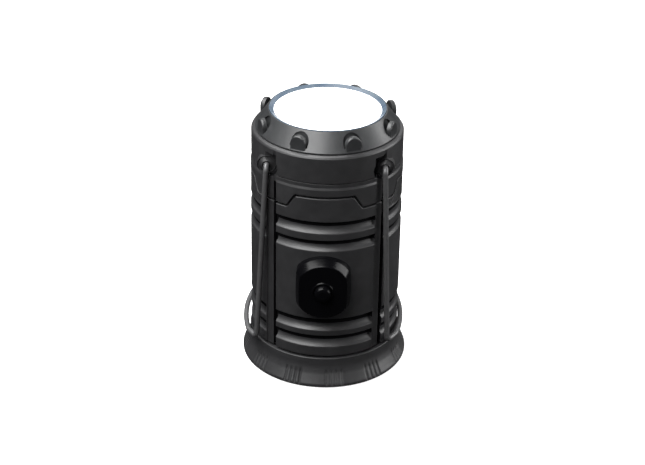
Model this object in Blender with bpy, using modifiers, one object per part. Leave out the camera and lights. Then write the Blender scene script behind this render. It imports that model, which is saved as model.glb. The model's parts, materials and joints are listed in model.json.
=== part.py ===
"""A pull-up camping lantern, closed, standing on its battery cap.

Frame: metres, +Z up, origin at the centre of the foot pad's underside, front (push switch) facing -Y.
Every piece is its own object. The head slides up out of the lower shell, the two bails swing up about
their pivots, the button presses in, and the battery cap turns on its bayonet.
"""

import math

import bmesh
import bpy
from mathutils import Matrix, Vector

# ---------------------------------------------------------------- driving dimensions, in metres
GAP = 0.0003                # clearance left between pieces that touch
STEPS = 40                  # facets round the large turned pieces
SMALL_STEPS = 16            # facets round the small ones

BODY_R = 0.0420             # outside of the barrel
BORE_R = 0.0382             # inside of the barrel
CHANNEL_FLOOR_R = 0.0396    # bottom of the four upright channels
CHANNEL_WIDTH = 0.0046

PAD_R = 0.0435
PAD_TOP_Z = 0.0015
SKIRT_R = 0.0470            # widest part of the flared cap
SKIRT_TOP_Z = 0.0170
SKIRT_LIP_R = 0.04265
SKIRT_BORE_R = 0.0401
CAP_FLOOR_TOP_Z = 0.0038

NECK_R = 0.0378             # the shell's neck inside the cap
NECK_BORE_R = 0.0360
NECK_BOTTOM_Z = 0.0080
LUG_WIDTH = 0.0100          # bayonet lugs
NECK_LUG_R = 0.0394
CAP_LUG_R = 0.0382

SHELL_BOTTOM_Z = 0.0183
SHELL_FLOOR_TOP_Z = 0.0203
FLOOR_HOLE_R = 0.0240
PARTING_Z = 0.1091          # where the head meets the lower shell, between the tabs
TAB_TOP_Z = 0.1166
TAB_TOP_HALF = math.radians(22.0)
TAB_BOTTOM_HALF = math.radians(28.7)
GROOVE_DEPTH = 0.0018
GROOVES = ((0.1024, 0.0951), (0.0912, 0.0844), (0.0423, 0.0345), (0.0315, 0.0240))   # top and bottom z

MAST_R = 0.0192             # guide mast: outside, inside, partition
MAST_BORE_R = 0.0181
MAST_FLANGE_R = 0.0355
MAST_TOP_Z = 0.1060
PARTITION_Z = 0.0805
PARTITION_THICK = 0.0020
MAST_SCREW_RADIUS = 0.0320  # how far the three screws stand from the axis

CELL_R = 0.00725            # AA cell
CELL_BOTTOM_Z = 0.0253
CELL_LENGTH = 0.0505
CELL_RADIUS = 0.00895       # how far the cells stand from the axis
CARTRIDGE_R = 0.0178

RAIL_IN = 0.0195
RAIL_OUT = 0.0201

DIFFUSER_R = 0.0360
DIFFUSER_BORE_R = 0.0344
DIFFUSER_BOTTOM_Z = 0.0305
STOP_FLANGE_R = 0.0377
STOP_FLANGE_TOP_Z = 0.0335
GUIDE_RING_TOP_Z = 0.1085
COLUMN_APOTHEM = 0.0245
COLUMN_BORE_R = 0.0215
COLUMN_BOTTOM_Z = 0.0260
HEAD_FLOOR_Z = 0.1184
HEAD_FLOOR_TOP_Z = 0.1204
HEAD_SCREW_RADIUS = 0.0312

BAND_R = 0.0417             # the head's upper band stands back a little
BAND_Z = 0.1252
BAND_EDGE_Z = 0.1229
SHOULDER_Z = 0.1393
HEAD_TOP_Z = 0.1408
SHOULDER_R = 0.0397
DECK_BOTTOM_Z = 0.1375
TORCH_NECK_R = 0.0330
TORCH_NECK_BORE_R = 0.0305
TORCH_NECK_TOP_Z = 0.1460

BEZEL_R = 0.0395
BEZEL_BOTTOM_Z = 0.1411
BEZEL_TOP_R = 0.0325
BEZEL_TOP_Z = 0.1512
LENS_SEAT_R = 0.03205
LENS_SEAT_Z = 0.1486
LUG_COUNT = 8
LUG_HALF = 0.0048
LUG_FACE_R = 0.0393
LENS_R = 0.0317
LENS_TOP_Z = 0.1515

PIVOT_X = 0.0318            # the bails' pivots
PIVOT_Z = 0.1287
LEG_Y = 0.0296
WIRE_R = 0.0015
BOSS_R = 0.0050
BOSS_FACE_Y = 0.0274
POCKET_R = 0.0062
POCKET_FLOOR_Y = 0.0262
POCKET_HALF = 0.0053        # each pocket's square upper end
POCKET_TOP_Z = 0.1363
LEG_DROP = 0.1067           # from the pivot down to the grip
GRIP_BULGE = 0.0076         # how far the grip stands outside the legs
GRIP_R = 0.0920
GRIP_HALF = 0.0220          # half the width of the grip's arc
LEFT_LEAN = math.radians(3.0)
RIGHT_LEAN = math.radians(2.3)

SWITCH_Z = 0.0640
SWITCH_FACE_Y = -0.0502
SWITCH_R = 0.0185
SWITCH_FLAT = 0.0155        # half width across the two flats
SWITCH_POCKET = (0.0170, 0.0230)
SWITCH_WALL = 0.0022
BUTTON_R = 0.0046
BUTTON_BORE_R = 0.0049
BUTTON_FACE_Y = -0.0542

THIRD = 2.0 * math.pi / 3.0
PARTS = bpy.data.collections.new("camping_lantern")
CUTTERS = bpy.data.collections.new("cutters")


# ---------------------------------------------------------------- tools
def clear_scene():
    for obj in list(bpy.data.objects):
        bpy.data.objects.remove(obj)
    for collection in (PARTS, CUTTERS):
        bpy.context.scene.collection.children.link(collection)


def material(name, colour, roughness, metallic=0.0, alpha=1.0):
    """A Principled material, made once for each name."""
    found = bpy.data.materials.get(name)
    if found:
        return found
    made = bpy.data.materials.new(name)
    made.use_nodes = True
    shader = made.node_tree.nodes["Principled BSDF"]
    shader.inputs["Base Color"].default_value = (*colour, 1.0)
    shader.inputs["Roughness"].default_value = roughness
    shader.inputs["Metallic"].default_value = metallic
    shader.inputs["Alpha"].default_value = alpha
    return made


def housing_black():
    return material("housing_black", (0.020, 0.020, 0.022), 0.45)


def switch_black():
    return material("switch_black", (0.006, 0.006, 0.007), 0.12)


def contact_metal():
    return material("contact_metal", (0.80, 0.62, 0.30), 0.30, 1.0)


def board_green():
    return material("board_green", (0.020, 0.150, 0.060), 0.50)


def screw_steel():
    return material("screw_steel", (0.55, 0.55, 0.57), 0.30, 1.0)


def white_plastic():
    return material("white_plastic", (0.80, 0.80, 0.78), 0.40)


def place(obj, surface, parent=None):
    """Puts a piece in the lantern's collection with its material, under a joint's empty if it moves."""
    PARTS.objects.link(obj)
    obj.data.materials.append(surface)
    obj.parent = parent
    return obj


def joint_empty(name, location, parent=None):
    """An empty on a joint's axis. Its children are given in its own coordinates."""
    empty = bpy.data.objects.new(name, None)
    empty.location = location
    empty.parent = parent
    PARTS.objects.link(empty)
    return empty


def hide_cutter(obj):
    CUTTERS.objects.link(obj)
    obj.hide_render = True
    obj.display_type = "WIRE"
    return obj


def turned(name, profile, ring=True, steps=STEPS):
    """A turned piece. The profile of (radius, z) runs up the inside and down the outside."""
    mesh = bpy.data.meshes.new(name)
    points = [(radius, 0.0, z) for radius, z in profile]
    edges = [(i, i + 1) for i in range(len(points) - 1)]
    if ring:
        edges.append((len(points) - 1, 0))
    mesh.from_pydata(points, edges, [])
    obj = bpy.data.objects.new(name, mesh)
    screw = obj.modifiers.new("turn", "SCREW")
    screw.angle = 2.0 * math.pi
    screw.steps = steps
    screw.render_steps = steps
    screw.use_merge_vertices = True
    screw.merge_threshold = 0.00001
    return obj


def disc(name, radius, low, high, steps=STEPS):
    """A plain round plate or bar between two heights."""
    profile = [(0.0, high), (radius, high), (radius, low), (0.0, low)]
    return turned(name, profile, ring=False, steps=steps)


def from_bmesh(name, built):
    mesh = bpy.data.meshes.new(name)
    bmesh.ops.recalc_face_normals(built, faces=built.faces)
    built.to_mesh(mesh)
    built.free()
    return bpy.data.objects.new(name, mesh)


def add_box(built, low, high, turn=0.0):
    """A box between two corners, turned about the lantern's axis."""
    low, high = Vector(low), Vector(high)
    size = Matrix.Diagonal((*(high - low), 1.0))
    centre = Matrix.Translation((low + high) / 2.0)
    spin = Matrix.Rotation(turn, 4, "Z")
    return bmesh.ops.create_cube(built, size=1.0, matrix=spin @ centre @ size)["verts"]


def add_rod(built, radius, start, end, turn=0.0, steps=SMALL_STEPS):
    """A round bar between two points, turned about the lantern's axis."""
    start, end = Vector(start), Vector(end)
    aim = Vector((0.0, 0.0, 1.0)).rotation_difference(end - start).to_matrix().to_4x4()
    place_at = Matrix.Rotation(turn, 4, "Z") @ Matrix.Translation((start + end) / 2.0) @ aim
    made = bmesh.ops.create_cone(
        built, cap_ends=True, segments=steps, radius1=radius, radius2=radius,
        depth=(end - start).length, matrix=place_at)
    return made["verts"]


def box(name, low, high, turn=0.0):
    built = bmesh.new()
    add_box(built, low, high, turn)
    return from_bmesh(name, built)


def combine(obj, other, operation):
    """Joins or cuts with another object, which is left out of the model."""
    step = obj.modifiers.new(other.name, "BOOLEAN")
    step.operation = operation
    step.solver = "EXACT"
    step.object = hide_cutter(other)
    return obj


# ---------------------------------------------------------------- shapes that both shells share
def channel_cutter(name):
    """Four upright channels, on the diagonals."""
    built = bmesh.new()
    half = CHANNEL_WIDTH / 2.0
    for k in range(4):
        add_box(built, (CHANNEL_FLOOR_R, -half, 0.0), (0.05, half, 0.16), math.radians(45.0 + 90.0 * k))
    return from_bmesh(name, built)


def tab_prisms(name, clearance):
    """The four trapezoids at the front, back and sides where the lower shell rises into the head."""
    built = bmesh.new()
    top_half = BODY_R * math.sin(TAB_TOP_HALF) + clearance
    bottom_half = BODY_R * math.sin(TAB_BOTTOM_HALF) + clearance
    below = PARTING_Z - 0.001
    for k in range(4):
        verts = add_box(built, (0.030, -1.0, below), (0.046, 1.0, TAB_TOP_Z + clearance))
        for v in verts:
            v.co.y *= top_half if v.co.z > PARTING_Z else bottom_half
        bmesh.ops.rotate(built, verts=verts, matrix=Matrix.Rotation(k * math.pi / 2.0, 3, "Z"))
    return from_bmesh(name, built)


def groove(top, bottom):
    """A scoop in the wall: undercut at its top, then a hollow that sweeps out to the wall."""
    points = [(BODY_R, top)]
    segments = 3
    for i in range(segments):
        t = i / segments
        depth = GROOVE_DEPTH * math.sqrt(1.0 - t * t)
        points.append((BODY_R - depth, top - 0.0002 - t * (top - bottom - 0.0002)))
    points.append((BODY_R, bottom))
    return points


# ---------------------------------------------------------------- battery cap
def foot_pad(cap):
    place(disc("foot_pad", PAD_R, 0.0, PAD_TOP_Z), material("foot_rubber", (0.015, 0.015, 0.015), 0.8), cap)


def base_skirt(cap):
    flare = [(SKIRT_LIP_R, SKIRT_TOP_Z), (0.0429, 0.0115), (0.0440, 0.0080), (0.0460, 0.0042),
             (SKIRT_R, 0.0024), (SKIRT_R, 0.0010), (0.0464, 0.0004)]
    under = PAD_TOP_Z + GAP
    recess = PAD_R + GAP
    profile = [(0.0, CAP_FLOOR_TOP_Z), (SKIRT_BORE_R, CAP_FLOOR_TOP_Z), (SKIRT_BORE_R, SKIRT_TOP_Z)]
    profile += flare + [(recess, 0.0004), (recess, under), (0.0, under)]
    obj = turned("base_skirt", profile, ring=False)
    built = bmesh.new()
    half = LUG_WIDTH / 2.0
    for k in range(3):
        add_box(built, (CAP_LUG_R, -half, 0.0113), (SKIRT_BORE_R + 0.001, half, 0.0133), k * THIRD)
    combine(obj, from_bmesh("cap_bayonet_lugs", built), "UNION")
    place(obj, housing_black(), cap)


def cap_contact(cap):
    place(disc("cap_contact", 0.0095, CAP_FLOOR_TOP_Z + GAP, 0.0046, 20), contact_metal(), cap)


def cap_spring(cap):
    """A conical coil that presses the cartridge up against its terminal."""
    turns, per_turn = 4, 10
    low, high = 0.0055, 0.0240
    curve = bpy.data.curves.new("cap_spring", "CURVE")
    curve.dimensions = "3D"
    curve.bevel_depth = 0.0005
    curve.bevel_resolution = 2
    curve.use_fill_caps = True
    spline = curve.splines.new("POLY")
    count = turns * per_turn + 1
    spline.points.add(count - 1)
    for i, point in enumerate(spline.points):
        t = i / (count - 1)
        angle = 2.0 * math.pi * i / per_turn
        radius = 0.0072 + (0.0036 - 0.0072) * t
        point.co = (radius * math.cos(angle), radius * math.sin(angle), low + (high - low) * t, 1.0)
    place(bpy.data.objects.new("cap_spring", curve), screw_steel(), cap)


# ---------------------------------------------------------------- lower shell and what it holds
def lower_shell():
    profile = [(NECK_BORE_R, NECK_BOTTOM_Z), (NECK_BORE_R, SHELL_BOTTOM_Z), (FLOOR_HOLE_R, SHELL_BOTTOM_Z),
               (FLOOR_HOLE_R, SHELL_FLOOR_TOP_Z), (BORE_R, SHELL_FLOOR_TOP_Z), (BORE_R, TAB_TOP_Z),
               (BODY_R, TAB_TOP_Z)]
    for top, bottom in GROOVES:
        profile += groove(top, bottom)
    profile += [(BODY_R, SHELL_BOTTOM_Z), (NECK_R, SHELL_BOTTOM_Z), (NECK_R, NECK_BOTTOM_Z)]
    obj = turned("lower_shell", profile)
    combine(obj, tab_ring_cutter(), "DIFFERENCE")
    combine(obj, channel_cutter("shell_channels"), "DIFFERENCE")
    built = bmesh.new()
    half = LUG_WIDTH / 2.0
    for k in range(3):
        add_box(built, (NECK_BORE_R + 0.0006, -half, 0.0090), (NECK_LUG_R, half, 0.0110), k * THIRD)
    combine(obj, from_bmesh("neck_bayonet_lugs", built), "UNION")
    built = bmesh.new()
    wide, tall = SWITCH_POCKET
    window_x, window_z = wide / 2.0 + 0.0007, tall / 2.0 + 0.0007
    add_box(built, (-window_x, -0.046, SWITCH_Z - window_z), (window_x, -0.034, SWITCH_Z + window_z))
    spot = (0.0, MAST_SCREW_RADIUS)
    for k in range(3):
        add_rod(built, 0.0015, (*spot, 0.0160), (*spot, 0.0230), k * THIRD, 12)
    combine(obj, from_bmesh("shell_openings", built), "DIFFERENCE")
    place(obj, housing_black())


def tab_ring_cutter():
    """What is taken off the shell's top: a ring, less the four tabs."""
    above = TAB_TOP_Z + 0.001
    profile = [(0.0360, PARTING_Z), (0.0360, above), (0.0450, above), (0.0450, PARTING_Z)]
    ring = turned("tab_ring", profile)
    return combine(ring, tab_prisms("tab_prisms", 0.0), "DIFFERENCE")


def guide_mast():
    floor = SHELL_FLOOR_TOP_Z + GAP
    flange_top = floor + 0.0020
    partition_top = PARTITION_Z + PARTITION_THICK
    profile = [(0.0, partition_top), (MAST_BORE_R, partition_top), (MAST_BORE_R, MAST_TOP_Z),
               (MAST_R, MAST_TOP_Z), (MAST_R, flange_top), (MAST_FLANGE_R, flange_top),
               (MAST_FLANGE_R, floor), (MAST_BORE_R, floor), (MAST_BORE_R, PARTITION_Z), (0.0, PARTITION_Z)]
    obj = turned("guide_mast", profile, ring=False, steps=28)
    spot = (0.0, MAST_SCREW_RADIUS)
    built = bmesh.new()
    for k in range(3):
        add_rod(built, 0.0025, (*spot, floor + 0.0010), (*spot, 0.0272), k * THIRD, 16)
    combine(obj, from_bmesh("mast_screw_posts", built), "UNION")
    built = bmesh.new()
    for k in range(3):
        add_rod(built, 0.0014, (*spot, 0.0190), (*spot, 0.0263), k * THIRD, 12)
    combine(obj, from_bmesh("mast_screw_holes", built), "DIFFERENCE")
    place(obj, white_plastic())


def battery_cartridge():
    """Two discs on three posts; the cells stand between the posts."""
    low, high = 0.0223, 0.0788
    built = bmesh.new()
    post_radius = 0.0156
    for k in range(3):
        angle = (k + 0.5) * THIRD + math.pi / 2.0
        spot = (post_radius * math.cos(angle), post_radius * math.sin(angle))
        add_rod(built, 0.0018, (*spot, low + 0.0010), (*spot, high - 0.0010), 0.0, 12)
    posts = from_bmesh("cartridge_posts", built)
    rings = []
    for name, bottom in (("lower_disc", low), ("upper_disc", high - 0.0020)):
        hole = 0.0050
        profile = [(hole, bottom), (hole, bottom + 0.0020), (CARTRIDGE_R, bottom + 0.0020), (CARTRIDGE_R, bottom)]
        rings.append(turned(name, profile, steps=20))
    obj = rings[0]
    obj.name = "battery_cartridge"
    combine(obj, posts, "UNION")
    combine(obj, rings[1], "UNION")
    place(obj, material("cartridge_black", (0.030, 0.030, 0.032), 0.5))


def battery_cells():
    nub_r, nub = 0.0027, 0.0010
    wrap = material("cell_wrap", (0.10, 0.22, 0.16), 0.35)
    for k in range(3):
        angle = k * THIRD + math.pi / 2.0
        body = CELL_LENGTH - nub
        profile = [(0.0, CELL_LENGTH), (nub_r, CELL_LENGTH), (nub_r, body), (CELL_R - 0.0004, body),
                   (CELL_R, body - 0.0004), (CELL_R, 0.0004), (CELL_R - 0.0004, 0.0), (0.0, 0.0)]
        cell = turned(f"battery_cell_{k + 1}", profile, ring=False, steps=14)
        place(cell, wrap)
        flipped = k == 1
        height = CELL_BOTTOM_Z + (CELL_LENGTH if flipped else 0.0)
        cell.location = (CELL_RADIUS * math.cos(angle), CELL_RADIUS * math.sin(angle), height)
        cell.rotation_euler.x = math.pi if flipped else 0.0


def cartridge_plates():
    top = CELL_BOTTOM_Z + CELL_LENGTH + GAP
    for name, low in (("lower_cell_plate", CELL_BOTTOM_Z - GAP - 0.0004), ("upper_cell_plate", top)):
        place(disc(name, 0.0133, low, low + 0.0004, 20), contact_metal())


def mast_terminal():
    """A rivet under the mast's partition that reaches down through the cartridge's upper disc."""
    high = PARTITION_Z - GAP
    tip = CELL_BOTTOM_Z + CELL_LENGTH + 2.0 * GAP + 0.0004
    profile = [(0.0, high), (0.0055, high), (0.0055, high - 0.0007), (0.0022, high - 0.0007),
               (0.0022, tip), (0.0, tip)]
    place(turned("mast_terminal", profile, ring=False, steps=SMALL_STEPS), contact_metal())


def contact_rails():
    for name, turn in (("contact_rail_left", math.pi), ("contact_rail_right", 0.0)):
        place(box(name, (RAIL_IN, -0.0020, 0.0300), (RAIL_OUT, 0.0020, 0.1040), turn), contact_metal())


def screw(name, spot, head_low, tip, parent=None):
    """A pan-head screw driven upwards."""
    head_high = head_low + 0.0017
    profile = [(0.0, tip), (0.0009, tip), (0.0011, tip - 0.0006), (0.0011, head_high), (0.0022, head_high),
               (0.0022, head_low + 0.0006), (0.0016, head_low), (0.0, head_low)]
    obj = turned(name, profile, ring=False, steps=10)
    place(obj, screw_steel(), parent)
    obj.location = (*spot, 0.0)


def mast_screws():
    for k in range(3):
        angle = k * THIRD + math.pi / 2.0
        spot = (MAST_SCREW_RADIUS * math.cos(angle), MAST_SCREW_RADIUS * math.sin(angle))
        screw(f"mast_screw_{k + 1}", spot, SHELL_BOTTOM_Z - GAP - 0.0017, 0.0258)


def guide_ring():
    low, outer, inner = 0.0960, BORE_R - GAP, DIFFUSER_R + GAP
    profile = [(inner, low), (inner, GUIDE_RING_TOP_Z), (outer, GUIDE_RING_TOP_Z), (outer, low)]
    place(turned("guide_ring", profile), white_plastic())


def switch_housing():
    """A boss with an outline of two arcs and two flats, curved at its back to sit on the barrel."""
    built = bmesh.new()
    verts = add_rod(built, SWITCH_R, (0.0, SWITCH_FACE_Y, SWITCH_Z), (0.0, -0.0370, SWITCH_Z), 0.0, 32)
    for v in verts:
        v.co.x = max(-SWITCH_FLAT, min(SWITCH_FLAT, v.co.x))
    bmesh.ops.remove_doubles(built, verts=built.verts, dist=0.00001)
    obj = from_bmesh("switch_housing", built)
    seat = disc("switch_seat", BODY_R + GAP, 0.0300, 0.0980, 80)
    combine(obj, seat, "DIFFERENCE")
    built = bmesh.new()
    wide, tall = SWITCH_POCKET
    inner_y = SWITCH_FACE_Y + SWITCH_WALL
    add_box(built, (-wide / 2.0, inner_y, SWITCH_Z - tall / 2.0), (wide / 2.0, -0.0300, SWITCH_Z + tall / 2.0))
    combine(obj, from_bmesh("switch_pocket", built), "DIFFERENCE")
    built = bmesh.new()
    add_rod(built, BUTTON_BORE_R, (0.0, -0.0600, SWITCH_Z), (0.0, -0.0450, SWITCH_Z))
    combine(obj, from_bmesh("button_bore", built), "DIFFERENCE")
    place(obj, switch_black())


def control_board():
    low = (-0.0080, -0.0400, SWITCH_Z - 0.0110)
    place(box("control_board", low, (0.0080, -0.0390, SWITCH_Z + 0.0110)), board_green())


def tact_switch():
    """A square switch body with its round plunger, on the board behind the button."""
    built = bmesh.new()
    add_box(built, (-0.0030, -0.0433, SWITCH_Z - 0.0030), (0.0030, -0.0403, SWITCH_Z + 0.0030))
    obj = from_bmesh("tact_switch", built)
    built = bmesh.new()
    add_rod(built, 0.0017, (0.0, -0.0440, SWITCH_Z), (0.0, -0.0420, SWITCH_Z), 0.0, 12)
    combine(obj, from_bmesh("plunger", built), "UNION")
    place(obj, screw_steel())


def push_button(slide):
    """Stem, retaining flange and thumb piece, turned about the button's own axis."""
    inner_y = SWITCH_FACE_Y + SWITCH_WALL + GAP
    face, flange, stem = -BUTTON_FACE_Y, -inner_y, 0.0458
    profile = [(0.0, face), (BUTTON_R - 0.0008, face), (BUTTON_R, face - 0.0008), (BUTTON_R, flange),
               (0.0062, flange), (0.0062, flange - 0.0010), (0.0020, flange - 0.0010), (0.0020, stem), (0.0, stem)]
    obj = turned("push_button", profile, ring=False, steps=SMALL_STEPS)
    place(obj, switch_black(), slide)
    obj.rotation_euler.x = math.pi / 2.0


# ---------------------------------------------------------------- head
def diffuser_tube(head):
    high = HEAD_FLOOR_Z - GAP
    profile = [(DIFFUSER_BORE_R, DIFFUSER_BOTTOM_Z), (DIFFUSER_BORE_R, high), (DIFFUSER_R, high),
               (DIFFUSER_R, STOP_FLANGE_TOP_Z), (STOP_FLANGE_R, STOP_FLANGE_TOP_Z),
               (STOP_FLANGE_R, DIFFUSER_BOTTOM_Z)]
    place(turned("diffuser_tube", profile), material("diffuser_frost", (0.85, 0.87, 0.88), 0.5, alpha=0.5), head)


def led_column(head):
    """A six-sided carrier with a round bore, which slides on the mast."""
    high = HEAD_FLOOR_Z - GAP
    built = bmesh.new()
    corner = COLUMN_APOTHEM / math.cos(math.pi / 6.0)
    verts = add_rod(built, corner, (0.0, 0.0, COLUMN_BOTTOM_Z), (0.0, 0.0, high), 0.0, 6)
    nearest = min(math.atan2(v.co.y, v.co.x) % (math.pi / 3.0) for v in verts)
    bmesh.ops.rotate(built, verts=verts, matrix=Matrix.Rotation(-nearest, 3, "Z"))
    obj = from_bmesh("led_column", built)
    combine(obj, disc("column_bore", COLUMN_BORE_R, COLUMN_BOTTOM_Z - 0.01, high + 0.01, 24), "DIFFERENCE")
    place(obj, white_plastic(), head)


def led_strips(head):
    """Three lit strips, on alternate faces of the column."""
    near = COLUMN_APOTHEM + GAP
    for k in range(3):
        low, high = (near, -0.0045, 0.0360), (near + 0.0012, 0.0045, 0.1100)
        strip = box(f"led_strip_{k + 1}", low, high, k * THIRD - math.pi / 2.0)
        place(strip, material("led_phosphor", (0.95, 0.85, 0.45), 0.4), head)


def sliding_brushes(head):
    near = RAIL_OUT + GAP
    for name, turn in (("brush_left", math.pi), ("brush_right", 0.0)):
        place(box(name, (near, -0.0015, 0.0270), (near + 0.0007, 0.0015, 0.0350), turn), contact_metal(), head)


def head_floor(head):
    outer, hole = BORE_R - GAP, 0.0060
    profile = [(hole, HEAD_FLOOR_Z), (hole, HEAD_FLOOR_TOP_Z), (outer, HEAD_FLOOR_TOP_Z), (outer, HEAD_FLOOR_Z)]
    obj = turned("head_floor", profile)
    built = bmesh.new()
    for k in range(3):
        add_rod(built, 0.0014, (HEAD_SCREW_RADIUS, 0.0, 0.1170), (HEAD_SCREW_RADIUS, 0.0, 0.1220), k * THIRD, 12)
    combine(obj, from_bmesh("head_floor_holes", built), "DIFFERENCE")
    place(obj, white_plastic(), head)


def head_screws(head):
    for k in range(3):
        angle = k * THIRD
        spot = (HEAD_SCREW_RADIUS * math.cos(angle), HEAD_SCREW_RADIUS * math.sin(angle))
        screw(f"head_screw_{k + 1}", spot, HEAD_FLOOR_Z - GAP - 0.0017, 0.1280, head)


def pivot_blocks():
    """Four blocks inside the head's wall that back the pivots, trimmed to the barrel."""
    built = bmesh.new()
    for x in (-1.0, 1.0):
        for y in (-1.0, 1.0):
            near, far = (0.0245 * x, 0.0200 * y), (0.0400 * x, 0.0340 * y)
            low = (min(near[0], far[0]), min(near[1], far[1]), PIVOT_Z - 0.0078)
            high = (max(near[0], far[0]), max(near[1], far[1]), DECK_BOTTOM_Z + 0.0010)
            add_box(built, low, high)
    blocks = from_bmesh("pivot_blocks", built)
    trim = disc("barrel_trim", BODY_R - 0.0012, 0.1000, 0.1600, STEPS)
    return combine(blocks, trim, "INTERSECT")


def pivot_rods(name, radius, near, far):
    """The same round bar at all four pivots, along Y."""
    built = bmesh.new()
    for x in (-PIVOT_X, PIVOT_X):
        for y in (-1.0, 1.0):
            add_rod(built, radius, (x, near * y, PIVOT_Z), (x, far * y, PIVOT_Z), 0.0, 20)
    return from_bmesh(name, built)


def pocket_tops():
    """Square ends that carry the round pockets up towards the shoulder."""
    built = bmesh.new()
    for x in (-PIVOT_X, PIVOT_X):
        for y in (-1.0, 1.0):
            near, far = sorted((POCKET_FLOOR_Y * y, 0.0480 * y))
            add_box(built, (x - POCKET_HALF, near, PIVOT_Z), (x + POCKET_HALF, far, POCKET_TOP_Z))
    return from_bmesh("pocket_tops", built)


def upper_housing(head):
    profile = [(BORE_R, PARTING_Z + GAP), (BORE_R, DECK_BOTTOM_Z), (TORCH_NECK_BORE_R, DECK_BOTTOM_Z),
               (TORCH_NECK_BORE_R, TORCH_NECK_TOP_Z), (TORCH_NECK_R, TORCH_NECK_TOP_Z),
               (TORCH_NECK_R, HEAD_TOP_Z), (SHOULDER_R, HEAD_TOP_Z), (0.0411, 0.1403), (BAND_R, SHOULDER_Z),
               (BAND_R, BAND_Z), (BODY_R, BAND_EDGE_Z), (BODY_R, PARTING_Z + GAP)]
    obj = turned("upper_housing", profile)
    combine(obj, pivot_blocks(), "UNION")
    spot = (HEAD_SCREW_RADIUS, 0.0)
    built = bmesh.new()
    for k in range(3):
        add_rod(built, 0.0026, (*spot, HEAD_FLOOR_TOP_Z + GAP), (*spot, DECK_BOTTOM_Z + 0.001), k * THIRD, 16)
    combine(obj, from_bmesh("head_screw_posts", built), "UNION")
    built = bmesh.new()
    for k in range(3):
        add_rod(built, 0.0014, (*spot, 0.1200), (*spot, 0.1290), k * THIRD, 12)
    combine(obj, from_bmesh("head_screw_holes", built), "DIFFERENCE")
    combine(obj, tab_prisms("tab_notches", 0.0004), "DIFFERENCE")
    combine(obj, channel_cutter("head_channels"), "DIFFERENCE")
    combine(obj, pivot_rods("pivot_pockets", POCKET_R, POCKET_FLOOR_Y, 0.0480), "DIFFERENCE")
    combine(obj, pocket_tops(), "DIFFERENCE")
    combine(obj, pivot_rods("pivot_bosses", BOSS_R, 0.0215, BOSS_FACE_Y), "UNION")
    combine(obj, pivot_rods("pivot_holes", WIRE_R + GAP, 0.0150, 0.0300), "DIFFERENCE")
    place(obj, housing_black(), head)


def torch_heatsink(head):
    aluminium = material("heatsink_aluminium", (0.75, 0.75, 0.76), 0.4, 1.0)
    place(disc("torch_heatsink", 0.0130, HEAD_FLOOR_TOP_Z + GAP, 0.1242, 20), aluminium, head)


def torch_board(head):
    place(disc("torch_board", 0.0120, 0.1245, 0.1260, 20), board_green(), head)


def torch_led(head):
    place(box("torch_led", (-0.0035, -0.0035, 0.1263), (0.0035, 0.0035, 0.1282)),
          material("torch_led_yellow", (0.95, 0.85, 0.35), 0.3), head)


def torch_reflector(head):
    """A deep bowl, 1 mm thick, with a small flange at its mouth."""
    low, high, throat, mouth, thick = 0.1290, 0.1470, 0.0065, 0.0288, 0.0010
    segments = 4
    bowl = []
    for i in range(segments + 1):
        t = i / segments
        bowl.append((math.sqrt(throat ** 2 + (mouth ** 2 - throat ** 2) * t), low + (high - low) * t))
    outer = [(radius + thick, z - 0.0004 * (z > low)) for radius, z in reversed(bowl)]
    profile = bowl + [(0.0302, high), (0.0302, high - 0.0008)] + outer[1:]
    place(turned("torch_reflector", profile, steps=28), material("reflector_chrome", (0.9, 0.9, 0.92), 0.08, 1.0), head)


def lens_seal(head):
    low = LENS_SEAT_Z + GAP
    profile = [(0.0303, low), (0.0303, low + 0.0004), (0.0316, low + 0.0004), (0.0316, low)]
    place(turned("lens_seal", profile), material("seal_rubber", (0.02, 0.02, 0.02), 0.7), head)


def torch_lens(head):
    lens = disc("torch_lens", LENS_R, LENS_SEAT_Z + 2.0 * GAP + 0.0004, LENS_TOP_Z)
    place(lens, material("lens_clear", (0.90, 0.95, 1.0), 0.05, alpha=0.4), head)


def bezel_lugs():
    """Arch-shaped lugs: a flat face, straight sides and a round top."""
    built = bmesh.new()
    centre_z, foot_z = 0.1453, 0.1420
    for k in range(LUG_COUNT):
        verts = add_rod(built, LUG_HALF, (0.0340, 0.0, centre_z), (LUG_FACE_R, 0.0, centre_z), 0.0, 12)
        for v in verts:
            if v.co.z < centre_z - 0.0001:
                v.co.z = foot_z
                if abs(v.co.y) > 0.8 * LUG_HALF:
                    v.co.y = math.copysign(LUG_HALF, v.co.y)
        spin = Matrix.Rotation(math.radians(22.5 + 45.0 * k), 3, "Z")
        bmesh.ops.rotate(built, verts=verts, matrix=spin)
    return from_bmesh("bezel_lugs", built)


def torch_bezel(head):
    lip_r, lip_low = 0.0299, 0.1473
    inner = TORCH_NECK_R + 0.0004
    profile = [(inner, BEZEL_BOTTOM_Z), (inner, lip_low), (lip_r, lip_low), (lip_r, LENS_SEAT_Z),
               (LENS_SEAT_R, LENS_SEAT_Z), (LENS_SEAT_R, BEZEL_TOP_Z), (BEZEL_TOP_R, BEZEL_TOP_Z),
               (BEZEL_R, BEZEL_BOTTOM_Z + 0.0006), (BEZEL_R, BEZEL_BOTTOM_Z)]
    obj = turned("torch_bezel", profile)
    combine(obj, bezel_lugs(), "UNION")
    place(obj, housing_black(), head)


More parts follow.
